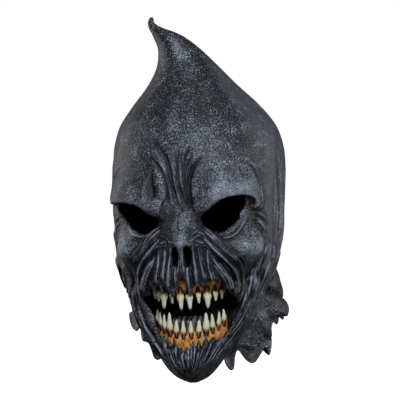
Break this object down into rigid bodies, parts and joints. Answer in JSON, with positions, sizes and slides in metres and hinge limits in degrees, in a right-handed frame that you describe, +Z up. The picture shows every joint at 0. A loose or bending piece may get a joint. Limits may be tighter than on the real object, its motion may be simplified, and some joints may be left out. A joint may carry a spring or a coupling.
{
  "type": "over-the-head mask",
  "caption": "Over-the-head latex ghoul mask: curled hood peak, slanted eye holes, fanged dental plates, a jaw that opens and a ragged neck skirt.",
  "frame": {"origin": "where the wearer's crown meets the flat underside of the crown pad", "axes": "+Z up through the peak, -Y out of the face, +X towards the wearer's left"},
  "size_m": [0.1798, 0.2251, 0.3785],
  "materials": {
    "latex": "charcoal latex, semi-gloss, dry-brushed blue-grey",
    "bone": "orange-brown painted gum and jaw bone, satin",
    "tooth": "ivory, stained brown at the roots",
    "tongue": "grey-green satin latex",
    "gauze": "black gauze",
    "foam": "charcoal open-cell foam"
  },
  "bodies": {
    "mask": {"front_skin": "latex", "rear_skin": "latex", "hood_tip": "latex", "neck_skirt": "latex", "upper_dental_plate": "bone", "crown_pad": "foam", "peak_filler": "foam", "upper_left_incisor": "tooth", "upper_left_lateral": "tooth", "upper_left_fang": "tooth", "upper_left_premolar": "tooth", "upper_left_molar": "tooth", "upper_right_incisor": "tooth", "upper_right_lateral": "tooth", "upper_right_fang": "tooth", "upper_right_premolar": "tooth", "upper_right_molar": "tooth"},
    "jaw": {"jaw_skin": "latex", "lower_dental_plate": "bone", "tongue": "tongue", "mouth_scrim": "gauze", "chin_pad": "foam", "lower_left_incisor": "tooth", "lower_left_lateral": "tooth", "lower_left_fang": "tooth", "lower_left_first_premolar": "tooth", "lower_left_second_premolar": "tooth", "lower_left_molar": "tooth", "lower_right_incisor": "tooth", "lower_right_lateral": "tooth", "lower_right_fang": "tooth", "lower_right_first_premolar": "tooth", "lower_right_second_premolar": "tooth", "lower_right_molar": "tooth"}
  },
  "joints": [
    {"name": "jaw_hinge", "type": "hinge", "parent": "mask", "child": "jaw", "pos_m": [0, 0.005, -0.135], "axis": [1, 0, 0], "range_deg": [0, 10], "stiffness_Nm_per_rad": 2, "springref_deg": -1.72}
  ]
}
